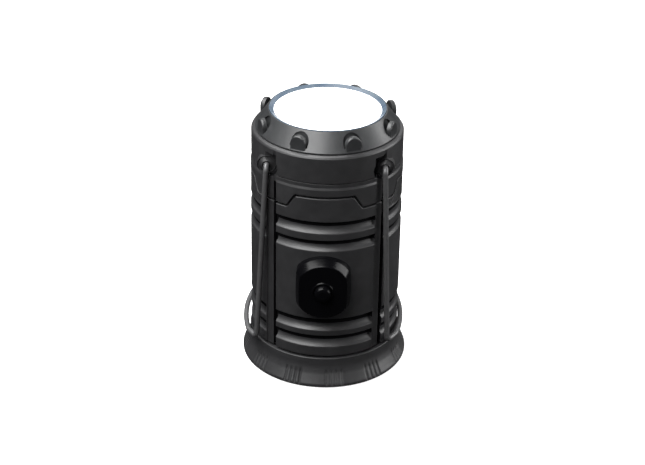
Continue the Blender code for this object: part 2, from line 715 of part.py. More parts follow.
# ---------------------------------------------------------------- bails
def rounded(points, radius, steps):
    """A 3D polyline with each inner corner swapped for an arc."""
    result = [points[0]]
    for before, corner, after in zip(points, points[1:], points[2:]):
        into = (before - corner).normalized()
        out = (after - corner).normalized()
        half_angle = into.angle(out) / 2.0
        reach = radius / math.tan(half_angle)
        centre = corner + (into + out).normalized() * radius / math.sin(half_angle)
        first, last = corner + into * reach - centre, corner + out * reach - centre
        for i in range(steps + 1):
            part_way = Matrix.Rotation(first.angle(last) * i / steps, 3, first.cross(last))
            result.append(centre + part_way @ first)
    result.append(points[-1])
    return result


def bail_path():
    """Half the wire, from a pivot pin to the middle of the grip, hanging straight down from its pivot."""
    start_x = GRIP_BULGE - (GRIP_R - math.sqrt(GRIP_R ** 2 - GRIP_HALF ** 2))
    corners = [Vector((0.0, -0.0225, 0.0)), Vector((0.0, -LEG_Y, 0.0)), Vector((0.0, -LEG_Y, -LEG_DROP)),
               Vector((start_x, -GRIP_HALF, -LEG_DROP))]
    centre_x = GRIP_BULGE - GRIP_R
    segments = 5
    arc = []
    for i in range(segments + 1):
        y = -GRIP_HALF * (1.0 - i / segments)
        arc.append(Vector((centre_x + math.sqrt(GRIP_R ** 2 - y ** 2), y, -LEG_DROP)))
    return rounded(corners, 0.0030, 4)[:-1] + arc


def bail(name, pivot, side, lean):
    """A wire bail. side is -1 on the left and 1 on the right; it leans outwards."""
    half = bail_path()
    whole = half + [Vector((p.x, -p.y, p.z)) for p in reversed(half[:-1])]
    swing = Matrix.Rotation(-lean, 3, "Y")
    curve = bpy.data.curves.new(name, "CURVE")
    curve.dimensions = "3D"
    curve.bevel_depth = WIRE_R
    curve.bevel_resolution = 3
    curve.use_fill_caps = True
    spline = curve.splines.new("POLY")
    spline.points.add(len(whole) - 1)
    for point, place_at in zip(spline.points, whole):
        turned_at = swing @ place_at
        point.co = (side * turned_at.x, turned_at.y, turned_at.z, 1.0)
    place(bpy.data.objects.new(name, curve), material("bail_black", (0.03, 0.03, 0.033), 0.35), pivot)


# ---------------------------------------------------------------- assembly
def build():
    clear_scene()
    cap = joint_empty("base_cap_axis", (0.0, 0.0, 0.0))
    head = joint_empty("head_axis", (0.0, 0.0, 0.0))
    slide = joint_empty("button_axis", (0.0, 0.0, SWITCH_Z))
    left = joint_empty("handle_left_pivot", (-PIVOT_X, 0.0, PIVOT_Z), head)
    right = joint_empty("handle_right_pivot", (PIVOT_X, 0.0, PIVOT_Z), head)

    for make in (foot_pad, base_skirt, cap_contact, cap_spring):
        make(cap)
    for make in (lower_shell, guide_mast, battery_cartridge, battery_cells, cartridge_plates, mast_terminal,
                 contact_rails, mast_screws, guide_ring, switch_housing, control_board, tact_switch):
        make()
    push_button(slide)
    for make in (diffuser_tube, led_column, led_strips, sliding_brushes, head_floor, head_screws,
                 upper_housing, torch_heatsink, torch_board, torch_led, torch_reflector, lens_seal,
                 torch_lens, torch_bezel):
        make(head)
    bail("handle_left", left, -1.0, LEFT_LEAN)
    bail("handle_right", right, 1.0, RIGHT_LEAN)


build()
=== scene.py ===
"""Looks of the pull-up camping lantern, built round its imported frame.

Units are metres, +Z is up and the push switch faces -Y. Turned pieces are grids of rows (a profile of
radius and height) and columns (angles about +Z, measured from +X).
"""

import json
import math

import bmesh
import bpy
import numpy as np
from mathutils import Matrix, Vector


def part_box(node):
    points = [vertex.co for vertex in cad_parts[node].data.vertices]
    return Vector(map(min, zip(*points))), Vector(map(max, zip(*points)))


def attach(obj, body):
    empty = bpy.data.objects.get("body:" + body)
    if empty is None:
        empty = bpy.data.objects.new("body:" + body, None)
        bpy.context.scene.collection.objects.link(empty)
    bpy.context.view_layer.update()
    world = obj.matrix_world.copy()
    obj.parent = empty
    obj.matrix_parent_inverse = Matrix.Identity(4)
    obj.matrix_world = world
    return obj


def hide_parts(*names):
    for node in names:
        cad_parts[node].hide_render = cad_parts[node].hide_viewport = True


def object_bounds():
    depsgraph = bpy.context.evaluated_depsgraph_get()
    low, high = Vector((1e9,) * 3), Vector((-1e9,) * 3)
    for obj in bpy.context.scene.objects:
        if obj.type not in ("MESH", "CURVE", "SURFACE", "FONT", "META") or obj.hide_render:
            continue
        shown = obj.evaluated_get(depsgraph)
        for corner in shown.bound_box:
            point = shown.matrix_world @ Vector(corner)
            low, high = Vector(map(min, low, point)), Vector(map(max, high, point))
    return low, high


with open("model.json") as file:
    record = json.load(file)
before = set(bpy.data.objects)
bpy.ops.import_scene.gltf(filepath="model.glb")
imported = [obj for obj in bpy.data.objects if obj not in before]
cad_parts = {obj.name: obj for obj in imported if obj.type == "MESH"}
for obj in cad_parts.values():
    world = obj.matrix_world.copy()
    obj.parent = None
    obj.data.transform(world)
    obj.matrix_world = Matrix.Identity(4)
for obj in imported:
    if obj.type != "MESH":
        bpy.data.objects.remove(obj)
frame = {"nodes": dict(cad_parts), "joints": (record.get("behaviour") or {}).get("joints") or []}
CAD_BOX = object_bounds()


def low(node):
    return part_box(node)[0]


def high(node):
    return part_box(node)[1]


# ---------------------------------------------------------------- sizes read from the frame
BODY_R = high("lower_shell").x
TAB_TOP = high("lower_shell").z
SHELL_NECK_LOW = low("lower_shell").z
SKIRT_R = high("base_skirt").x
SKIRT_TOP = high("base_skirt").z
PAD_R = high("foot_pad").x
PAD_TOP = high("foot_pad").z
RING_TOP = high("guide_ring").z
DIFFUSER_LOW = low("diffuser_tube").z
DIFFUSER_HIGH = high("diffuser_tube").z
NECK_TOP = high("upper_housing").z
BEZEL_LOW = low("torch_bezel").z
BEZEL_TOP = high("torch_bezel").z
LENS_TOP = high("torch_lens").z
SWITCH_FACE = low("switch_housing").y
SWITCH_Z = (low("switch_housing").z + high("switch_housing").z) / 2.0
BUTTON_FACE = low("push_button").y
PIVOTS = {j["child"]: Vector(j["pos_m"]) for j in frame["joints"] if j["child"].startswith("handle")}
PIVOT = PIVOTS["handle_right"]

# ---------------------------------------------------------------- sizes of the features
COLUMN_STEP = 1.2           # degrees between the barrel's columns, where nothing asks for more
BORE_R = 0.0382
BORE_TOP = 0.1000           # from here up the bore's edge follows the tabs
NECK_BORE_R = 0.0360        # the shell's neck, which the cap turns on
NECK_R = 0.0378
FLOOR_HOLE_R = 0.0240
SHELL_LOW = 0.0183          # where the barrel ends above the cap's lip
FLOOR_TOP = SHELL_LOW + 0.002
PARTING = 0.1091            # where head and shell meet between the tabs
PARTING_DROP = 0.0004       # how far the drawn line lies under it
# half widths of a tab at its top and foot
TAB_TOP_HALF = BODY_R * math.sin(math.radians(22.0))
TAB_FOOT_HALF = BODY_R * math.sin(math.radians(28.7))
TAB_GAP = 0.0011            # the dark line between the head and the shell
# each groove's upper and lower height
GROOVES = ((0.1024, 0.0951), (0.0912, 0.0844), (0.0423, 0.0345), (0.0315, 0.0240))
GROOVE_DEPTH = 0.0023
GROOVE_FOOT = 0.0005        # the foot of a groove's ramp is this far above its lower height
SIDE_GROOVE_DEPTH = 0.0013
SIDE_GROOVE_ENTRY = 0.0007  # depth just under the lip
SHADE_PAINT_SHARE = 0.56         # the upper part of each groove, from this share of its height up, gets the painted shade
CHANNEL_START = -0.0027     # along the surface from 45 degrees: a shallow bed and then a deep slot
CHANNEL_STEP = 0.0021
CHANNEL_END = 0.0044
CHANNEL_BED = 0.0412
CHANNEL_FLOOR = 0.0386
BAND_R = 0.0417             # the head above its step
HEAD_MIDDLE = 0.1205        # between the ledge and the tabs
LEDGE = 0.1219
BAND_CREASE = 0.1252
HEAD_CEILING = 0.1375
SHOULDER = 0.1393
DECK = 0.1408
RIM_ROUND = 0.00035
GAP_R = 0.0402              # the dark line is this deep. Behind it the head has a tongue
KNURL_DEPTH = 0.00035
KNURL_PITCH = 0.0016
KNURL_SPAN = math.radians(38.0)     # to each side of +X and -X
BEZEL_R = 0.0395
CONE_RUN = 0.7368           # how much the bezel's radius shrinks per metre of height
LENS_WINDOW_R = 0.0293
LENS_R = 0.03205
LUG_COUNT = 8
LUG_HALF = 0.0045
LUG_FACE = 0.0389
LUG_Z = 0.1453              # the middle of a lug's arch
LUG_FOOT = 0.1419
FLARE_R = 0.0422            # the cap's flare lies outside this radius
RIB_GROUPS = 12
RIB_OFFSET = math.radians(8.9)
RIB_DEPTH = 0.00065
SWITCH_R = 0.0182
SWITCH_BACK = -0.0385
WINDOW_HALF = Vector((0.0092, 0.0122))      # the opening in the shell behind the switch, across and up
BUTTON_BORE_R = 0.0049
BUTTON_R = 0.0046
WIRE_R = 0.0015
BEND_R = 0.0030
PIN_START = 0.0225
LEG_Y = 0.0296
LEG_DROP = 0.1067
GRIP_BULGE = 0.0076
GRIP_R = 0.0920
GRIP_HALF = 0.0220
# how far each bail hangs out of plumb
LEANS = {"handle_left": math.radians(3.0), "handle_right": math.radians(2.3)}
BOSS_R = 0.0050
BOSS_HOLE_R = 0.0018
BOSS_ROOT = 0.0215
BOSS_FACE = 0.0274
POCKET_R = 0.0062
POCKET_HALF = 0.0053
POCKET_FLOOR = 0.0262
POCKET_TOP = 0.1363
OUTSIDE = 0.0480            # a distance from the axis that clears the barrel
NEAR = 0.0001               # a face's middle is on a wall if it is within this distance


# ---------------------------------------------------------------- materials
def new_material(name, colour, roughness, metallic=0.0, specular=0.5):
    made = bpy.data.materials.new(name)
    made.use_nodes = True
    shader = made.node_tree.nodes["Principled BSDF"]
    shader.inputs["Base Color"].default_value = (*colour, 1.0)
    shader.inputs["Roughness"].default_value = roughness
    shader.inputs["Metallic"].default_value = metallic
    shader.inputs["Specular IOR Level"].default_value = specular
    return made, shader


def noise(tree, scale, detail=2.0, stretch=None):
    """A noise texture in the object's own space. scale is in features per metre."""
    place = tree.nodes.new("ShaderNodeTexCoord")
    texture = tree.nodes.new("ShaderNodeTexNoise")
    texture.inputs["Scale"].default_value = scale
    texture.inputs["Detail"].default_value = detail
    source = place.outputs["Object"]
    if stretch:
        mapping = tree.nodes.new("ShaderNodeMapping")
        mapping.inputs["Scale"].default_value = stretch
        tree.links.new(source, mapping.inputs["Vector"])
        source = mapping.outputs["Vector"]
    tree.links.new(source, texture.inputs["Vector"])
    return texture


def spread(tree, source, lowest, highest):
    """Maps a texture's middle range to the range between two values."""
    remap = tree.nodes.new("ShaderNodeMapRange")
    remap.inputs["From Min"].default_value = 0.3
    remap.inputs["From Max"].default_value = 0.7
    remap.inputs["To Min"].default_value = lowest
    remap.inputs["To Max"].default_value = highest
    tree.links.new(source, remap.inputs["Value"])
    return remap.outputs["Result"]


def finish_surface(made, shader, grain, grain_height, roughness, tint=None, patch=60.0, stretch=None):
    """Adds fine grain as bump, patchy roughness, and a second tint in specks."""
    tree = made.node_tree
    fine = noise(tree, grain, 3.0, stretch)
    bump = tree.nodes.new("ShaderNodeBump")
    bump.inputs["Strength"].default_value = 1.0
    bump.inputs["Distance"].default_value = grain_height
    tree.links.new(fine.outputs["Fac"], bump.inputs["Height"])
    tree.links.new(bump.outputs["Normal"], shader.inputs["Normal"])
    broad = noise(tree, patch, 4.0)
    tree.links.new(spread(tree, broad.outputs["Fac"], *roughness), shader.inputs["Roughness"])
    if tint:
        mix = tree.nodes.new("ShaderNodeMix")
        mix.data_type = "RGBA"
        mix.inputs["A"].default_value = shader.inputs["Base Color"].default_value
        mix.inputs["B"].default_value = (*tint, 1.0)
        specks = noise(tree, patch * 3.0, 5.0)
        tree.links.new(spread(tree, specks.outputs["Fac"], 0.0, 1.0), mix.inputs["Factor"])
        tree.links.new(mix.outputs["Result"], shader.inputs["Base Color"])
    return made


def plastic(name, colour, roughness, grain=2600.0, grain_height=0.00002, specular=0.5, tint_gain=1.35):
    made, shader = new_material(name, colour, roughness, specular=specular)
    tint = tuple(c * tint_gain for c in colour)
    patches = (roughness - 0.05, roughness + 0.07)
    return finish_surface(made, shader, grain, grain_height, patches, tint)


def metal(name, colour, roughness, stretch=None, metallic=1.0):
    made, shader = new_material(name, colour, roughness, metallic)
    tint = tuple(c * 0.85 for c in colour)
    patches = (roughness - 0.05, roughness + 0.08)
    return finish_surface(made, shader, 1500.0, 0.000004, patches, tint, 150.0, stretch)


def glossy(name, colour, roughness, specular=0.5):
    made, shader = new_material(name, colour, roughness, specular=specular)
    return finish_surface(made, shader, 900.0, 0.000002, (roughness, roughness + 0.05), None, 90.0)


def frosted():
    """Milky polycarbonate that glows a little where the LEDs stand behind it."""
    made, shader = new_material("diffuser_frost", (0.88, 0.90, 0.92), 0.5)
    shader.inputs["Transmission Weight"].default_value = 0.55
    shader.inputs["IOR"].default_value = 1.3
    return finish_surface(made, shader, 3000.0, 0.00003, (0.42, 0.55), (0.80, 0.84, 0.88), 120.0)


def lit_window():
    made, shader = new_material("lens_window", (0.95, 0.97, 1.0), 0.15)
    shader.inputs["Emission Color"].default_value = (0.97, 0.985, 1.0, 1.0)
    shader.inputs["Emission Strength"].default_value = 1.0
    return finish_surface(made, shader, 700.0, 0.00002, (0.10, 0.22), (0.88, 0.90, 0.97), 70.0)


def lens_plastic():
    """Clear plastic seen through its edge: blue-grey."""
    made, shader = new_material("lens_rim", (0.05, 0.075, 0.11), 0.22, specular=0.2)
    return finish_surface(made, shader, 500.0, 0.00001, (0.17, 0.3), (0.10, 0.125, 0.15), 45.0)


def phosphor():
    made, shader = new_material("led_phosphor", (0.95, 0.80, 0.35), 0.35)
    return finish_surface(made, shader, 2500.0, 0.00001, (0.3, 0.45), (0.95, 0.86, 0.5), 400.0)


HOUSING = plastic("housing_black", (0.020, 0.020, 0.021), 0.45, specular=0.6)
# painted shade: a near-black, dull plastic put on the faces in slots, pivot pockets and under groove lips, in
# place of the shadow that falls there
PAINTED_SHADE = plastic("painted_shade_black", (0.004, 0.004, 0.0045), 0.6, specular=0.05)
BEZEL = plastic("bezel_black", (0.024, 0.025, 0.026), 0.36, grain=3000.0, grain_height=0.000008)
RUBBER = plastic("foot_rubber", (0.016, 0.016, 0.016), 0.75, grain=1800.0, grain_height=0.00004)
WHITE = plastic("white_plastic", (0.78, 0.78, 0.76), 0.4, grain=2000.0, grain_height=0.00001, tint_gain=1.05)
CARTRIDGE = plastic("cartridge_black", (0.03, 0.03, 0.032), 0.5)
SWITCH = glossy("switch_black", (0.002, 0.002, 0.0025), 0.22, specular=0.14)
WRAP = glossy("cell_wrap", (0.10, 0.22, 0.16), 0.3)
BOARD = glossy("board_green", (0.02, 0.15, 0.06), 0.4)
WIRE = metal("bail_black", (0.12, 0.12, 0.1222), 0.45, metallic=0.45)
BRASS = metal("contact_brass", (0.80, 0.62, 0.30), 0.25)
STEEL = metal("bright_steel", (0.60, 0.60, 0.62), 0.28)
CHROME = metal("reflector_chrome", (0.90, 0.90, 0.92), 0.10)
ALUMINIUM = metal("heatsink_aluminium", (0.75, 0.75, 0.76), 0.35, stretch=(0.05, 0.05, 1.0))
FROST = frosted()
WINDOW = lit_window()
LENS_EDGE = lens_plastic()
PHOSPHOR = phosphor()


# ---------------------------------------------------------------- mesh tools
def rounded(points, steps=4):
    """A closed outline of (a, b) or (a, b, radius): each corner with a radius becomes an arc."""
    result = []
    count = len(points)
    for i, point in enumerate(points):
        if len(point) == 2 or point[2] == 0.0:
            result.append(point[:2])
            continue
        corner = Vector(point[:2])
        into = Vector(points[i - 1][:2]) - corner
        out = Vector(points[(i + 1) % count][:2]) - corner
        half = into.angle(out) / 2.0
        reach = min(point[2] / math.tan(half), 0.49 * into.length, 0.49 * out.length)
        radius = reach * math.tan(half)
        into.normalize()
        out.normalize()
        centre = corner + (into + out).normalized() * radius / math.sin(half)
        start = corner + into * reach - centre
        sweep = math.pi - 2.0 * half
        if start.x * out.y - start.y * out.x > 0.0:
            turn = 1.0
        else:
            turn = -1.0
        for k in range(steps + 1):
            angle = turn * sweep * k / steps
            x = start.x * math.cos(angle) - start.y * math.sin(angle)
            y = start.x * math.sin(angle) + start.y * math.cos(angle)
            result.append((centre.x + x, centre.y + y))
    return result


def smooth(obj, sharp=40.0):
    """Smooth shading that keeps real edges, weighted so that flat faces stay flat."""
    obj.data.shade_smooth()
    obj.data.set_sharp_from_angle(angle=math.radians(sharp))
    weighted = obj.modifiers.new("weighted", "WEIGHTED_NORMAL")
    weighted.keep_sharp = True
    return obj


def finished(name, mesh, surface, sharp=40.0):
    """A new object in the scene, with its faces pointing out and its material."""
    built = bmesh.new()
    built.from_mesh(mesh)
    bmesh.ops.remove_doubles(built, verts=built.verts, dist=1e-7)
    bmesh.ops.recalc_face_normals(built, faces=built.faces)
    built.to_mesh(mesh)
    built.free()
    mesh.name = name
    obj = bpy.data.objects.new(name, mesh)
    bpy.context.scene.collection.objects.link(obj)
    if surface:
        mesh.materials.clear()
        mesh.materials.append(surface)
    return smooth(obj, sharp)


def grid_mesh(points):
    """A mesh from points[row][column], joined round in both directions."""
    row_count, column_count = points.shape[:2]
    index = np.arange(row_count * column_count).reshape(row_count, column_count)
    below = np.roll(index, -1, axis=0)
    faces = np.stack((index, np.roll(index, -1, axis=1), np.roll(below, -1, axis=1), below), axis=-1)
    mesh = bpy.data.meshes.new("grid")
    mesh.from_pydata(points.reshape(-1, 3).tolist(), [], faces.reshape(-1, 4).tolist())
    return mesh


def columns(step, fine):
    """Angles round the circle: an even step in degrees, with finer (centre, half width, step) spans."""
    angles = list(np.arange(0.0, 360.0, step))
    for centre, half, fine_step in fine:
        reach = half + 0.5 * fine_step
        angles = [a for a in angles if abs((a - centre + 180.0) % 360.0 - 180.0) > reach]
        angles += list(centre + np.linspace(-half, half, int(round(2.0 * half / fine_step)) + 1))
    return np.radians(np.unique(np.round(np.mod(angles, 360.0), 5)))


def turned_grid(angles, radii, heights):
    """points[row][column] for radii and heights given as rows, or as rows of columns."""
    radii, heights = (np.asarray(v, float) for v in (radii, heights))
    radii = radii if radii.ndim == 2 else np.repeat(radii[:, None], len(angles), axis=1)
    heights = heights if heights.ndim == 2 else np.repeat(heights[:, None], len(angles), axis=1)
    return np.stack((radii * np.cos(angles), radii * np.sin(angles), heights), axis=-1)


def turned_mesh(profile, steps=180, corner_steps=4):
    """A turned body from a closed profile of (radius, z) or (radius, z, rounding)."""
    radii, heights = zip(*rounded(profile, corner_steps))
    angles = np.linspace(0.0, 2.0 * math.pi, steps, endpoint=False)
    return grid_mesh(turned_grid(angles, radii, heights))


def turned(name, profile, surface, steps=180):
    """A turned piece."""
    return finished(name, turned_mesh(profile, steps), surface)


def new_rows(angles):
    """Empty lists of radii and heights over the columns, and a function that adds a row to both."""
    radii, heights, ones = [], [], np.ones(len(angles))

    def row(radius, height):
        radii.append(radius * ones)
        heights.append(height * ones)

    return radii, heights, row


def quarter(steps):
    """The sine and cosine of even steps from 0 to 90 degrees."""
    turns = [math.pi / 2.0 * k / steps for k in range(steps + 1)]
    return [(math.sin(turn), math.cos(turn)) for turn in turns]


def to_mesh(built, name):
    """A bmesh as a mesh. The bmesh is freed."""
    mesh = bpy.data.meshes.new(name)
    built.to_mesh(mesh)
    built.free()
    return mesh


def loft_mesh(rings):
    """A closed body through rings of points."""
    built = bmesh.new()
    loops = [[built.verts.new(point) for point in ring] for ring in rings]
    for ring, after in zip(loops, loops[1:]):
        for i in range(len(ring)):
            built.faces.new((ring[i - 1], ring[i], after[i], after[i - 1]))
    built.faces.new(loops[0])
    built.faces.new(loops[-1])
    bmesh.ops.recalc_face_normals(built, faces=built.faces)
    return to_mesh(built, "loft")


def rod_mesh(radius, start, end, steps=64):
    start, end = Vector(start), Vector(end)
    aim = Vector((0.0, 0.0, 1.0)).rotation_difference(end - start).to_matrix().to_4x4()
    built = bmesh.new()
    bmesh.ops.create_cone(
        built, cap_ends=True, segments=steps, radius1=radius, radius2=radius,
        depth=(end - start).length, matrix=Matrix.Translation((start + end) / 2.0) @ aim)
    return to_mesh(built, "rod")


def block_mesh(corner, opposite):
    """A box between two corners."""
    corner, opposite = Vector(corner), Vector(opposite)
    size = Matrix.Diagonal((*(opposite - corner), 1.0))
    built = bmesh.new()
    bmesh.ops.create_cube(built, size=1.0, matrix=Matrix.Translation((corner + opposite) / 2.0) @ size)
    return to_mesh(built, "block")


def merged(meshes):
    built = bmesh.new()
    for mesh in meshes:
        built.from_mesh(mesh)
    return to_mesh(built, "merged")


def carve(obj, meshes, operation="DIFFERENCE"):
    """Cuts meshes out of obj, or joins them to it, and leaves the result as its mesh."""
    tool = bpy.data.objects.new("tool", merged(meshes))
    bpy.context.scene.collection.objects.link(tool)
    step = obj.modifiers.new("carve", "BOOLEAN")
    step.operation = operation
    step.solver = "EXACT"
    step.use_self = len(meshes) > 1 and operation == "UNION"
    step.object = tool
    weighted = obj.modifiers.get("weighted")
    if weighted:
        obj.modifiers.remove(weighted)
    graph = bpy.context.evaluated_depsgraph_get()
    mesh = bpy.data.meshes.new_from_object(obj.evaluated_get(graph))
    obj.modifiers.clear()
    obj.data = mesh
    bpy.data.objects.remove(tool)
    return obj


def spin_mesh(mesh, angle):
    mesh.transform(Matrix.Rotation(angle, 4, "Z"))
    return mesh


def stand(obj, body, slot, *nodes):
    """A finished piece, parented to its body, with the frame nodes it stands for hidden. slot is not used."""
    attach(obj, body)
    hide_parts(*nodes)
    return obj


# ---------------------------------------------------------------- the barrel's shared outline
def from_nearest_tab(angles):
    """How far along the barrel's surface each angle is from the middle of the nearest tab."""
    fold = np.mod(angles + math.pi / 4.0, math.pi / 2.0) - math.pi / 4.0
    return np.abs(BODY_R * np.sin(fold))


def soft_ramp(value, softness=0.11):
    """0 below 0 and the value itself above 0, with a soft corner."""
    return (np.sqrt(value * value + softness * softness) + value) / 2.0


def tab_edge(angles):
    """Height of the line where head and shell meet, and the factor that its slope puts on an offset."""
    along = (TAB_FOOT_HALF - from_nearest_tab(angles)) / (TAB_FOOT_HALF - TAB_TOP_HALF)
    rise = soft_ramp(along) - soft_ramp(along - 1.0)
    line = PARTING - PARTING_DROP + (TAB_TOP - PARTING) * rise
    slope = np.gradient(line, BODY_R * np.unwrap(angles))
    return line, np.sqrt(1.0 + slope * slope)


def along_channel(angles):
    """Distance along the surface from the nearest channel's 45 degree line."""
    return BODY_R * np.sin(np.mod(angles, math.pi / 2.0) - math.pi / 4.0)


def channel_radius(angles):
    """The outer limit that the four upright channels put on the radius."""
    lip, wall = 0.0004, 0.00012
    no_limit = BODY_R + 0.01
    profile = (
        (CHANNEL_START - 1.2 * lip, no_limit), (CHANNEL_START - lip, BODY_R),
        (CHANNEL_START - 0.5 * lip, BODY_R - 0.15 * lip), (CHANNEL_START, CHANNEL_BED + 0.0001),
        (CHANNEL_START + 0.0003, CHANNEL_BED), (CHANNEL_STEP - 0.0002, CHANNEL_BED),
        (CHANNEL_STEP, CHANNEL_BED - 0.0002), (CHANNEL_STEP + wall, CHANNEL_FLOOR),
        (CHANNEL_END - wall, CHANNEL_FLOOR), (CHANNEL_END, BODY_R - lip),
        (CHANNEL_END + 0.35 * lip, BODY_R - 0.24 * lip), (CHANNEL_END + 0.7 * lip, BODY_R - 0.05 * lip),
        (CHANNEL_END + lip, BODY_R), (CHANNEL_END + 1.2 * lip, no_limit))
    return np.interp(along_channel(angles), *zip(*profile))


def barrel_columns():
    """Columns that are fine at the channels' edges and at the tabs' slopes."""
    slope_middle, slope_half = 25.4, 4.6
    fine = []
    for k in range(4):
        for along in (CHANNEL_START - 0.0002, CHANNEL_STEP, CHANNEL_END):
            fine.append((45.0 + 90.0 * k + math.degrees(along / BODY_R), 1.05, 0.15))
        for side in (-1.0, 1.0):
            fine.append((90.0 * k + side * slope_middle, slope_half, 0.4))
    return columns(COLUMN_STEP, fine)


def on_side_panels(angles):
    """True where a column is on the left or right panel and not on the front or back."""
    return np.abs(np.cos(angles)) > math.cos(math.pi / 4.0)


def groove_rows(top, bottom, depth, entry):
    """(depth, z) rows of a groove: a sharp lip, an upright wall and a hollow ramp out. entry is its depth
    just under the lip.
    """
    lip = 0.0002
    rows = [(0.0, top + 0.0004), (0.0, top + lip), (0.3 * lip, top + 0.4 * lip), (lip, top),
            (entry * 0.6, top - 0.00005), (entry, top - 0.0003)]
    first_tilt, last_tilt, segments = math.radians(8.0), math.radians(50.0), 9
    foot = bottom + GROOVE_FOOT
    ramp = [(0.12 * depth, foot)]
    tilts = [last_tilt + (first_tilt - last_tilt) * (i + 0.5) / segments for i in range(segments)]
    step = (depth - ramp[0][0]) / sum(math.sin(tilt) for tilt in tilts)
    for tilt in tilts:
        ramp.append((ramp[-1][0] + step * math.sin(tilt), ramp[-1][1] + step * math.cos(tilt)))
    ramp_top = ramp[-1][1]
    highest = top - 0.0010
    if ramp_top > highest:
        ramp = [(d, foot + (z - foot) * (highest - foot) / (ramp_top - foot)) for d, z in ramp]
    rows.append(((entry + depth) / 2.0, (top - 0.0003 + ramp[-1][1]) / 2.0))
    rows += reversed(ramp)
    rows += [(0.045 * depth, foot - 0.00020), (0.01 * depth, foot - 0.00045), (0.0, foot - 0.0008)]
    return rows


def ridge(value):
    """A zigzag from 1 at whole numbers down to 0 midway between them."""
    return np.abs(np.mod(value, 1.0) - 0.5) * 2.0


def knurl(angles, heights):
    """Height of a diamond knurl, from 0 to 1, over columns and rows."""
    around = BODY_R * angles / KNURL_PITCH
    up = heights / KNURL_PITCH
    return np.minimum(ridge(around + 0.6 * up), ridge(around - 0.6 * up))


def on_panels(angles):
    """1 on the panels, which the grooves run across, and 0 on the channels' beds, where they stop."""
    ends = (CHANNEL_START - 0.0009, CHANNEL_START - 0.0005, CHANNEL_STEP, CHANNEL_END)
    return np.interp(along_channel(angles), ends, (1.0, 0.0, 0.0, 1.0))


def in_shaded_pocket_wall(point):
    """True on the walls of the recesses round the pivots, which get the painted shade."""
    x, z = abs(point.x) - PIVOT.x, point.z - PIVOT.z
    inside = math.hypot(point.x, point.y) < BAND_R - 0.0008
    if not inside or abs(point.y) < POCKET_FLOOR or point.z > POCKET_TOP:
        return False
    on_round = abs(math.hypot(x, z) - POCKET_R) < NEAR
    on_side = z > 0.0 and abs(abs(x) - POCKET_HALF) < NEAR
    return on_round or on_side


def gets_painted_shade(point):
    """True on the faces that get the painted shade: the slots, and the undercut upper part of each groove."""
    radius = math.hypot(point.x, point.y)
    along = along_channel(math.atan2(point.y, point.x))
    if point.z > PIVOT.z - POCKET_R - 0.0004:
        return in_shaded_pocket_wall(point)
    if CHANNEL_START - 0.0002 < along < CHANNEL_STEP - NEAR:
        return False
    if CHANNEL_STEP - NEAR < along < CHANNEL_END + 0.0002:
        return CHANNEL_FLOOR - 0.0006 < radius < CHANNEL_BED - 0.0003
    for top, bottom in GROOVES:
        if bottom + SHADE_PAINT_SHARE * (top - bottom) < point.z < top - NEAR:
            return CHANNEL_FLOOR - NEAR < radius < BODY_R - 0.0003
    return False


def paint_recess_shade(obj):
    """Paints shade: the faces inside slots and under lips get a darker, duller material for the shadow that
    falls in them.
    """
    obj.data.materials.append(PAINTED_SHADE)
    index = len(obj.data.materials) - 1
    for face in obj.data.polygons:
        if gets_painted_shade(face.center):
            face.material_index = index


# ---------------------------------------------------------------- lower shell
def knurled_depth(angles, height, top, bottom):
    """How deep the knurling on the side panels lies at a row between two heights, which fade it out."""
    fade = np.clip((top - height) / 0.0008, 0.0, 1.0) * np.clip((height - bottom) / 0.0006, 0.0, 1.0)
    from_side = np.abs(np.arcsin(np.sin(angles)))
    inside = np.clip((KNURL_SPAN - from_side) / math.radians(1.0), 0.0, 1.0)
    return KNURL_DEPTH * fade * inside * on_side_panels(angles) * (1.0 - knurl(angles, height))


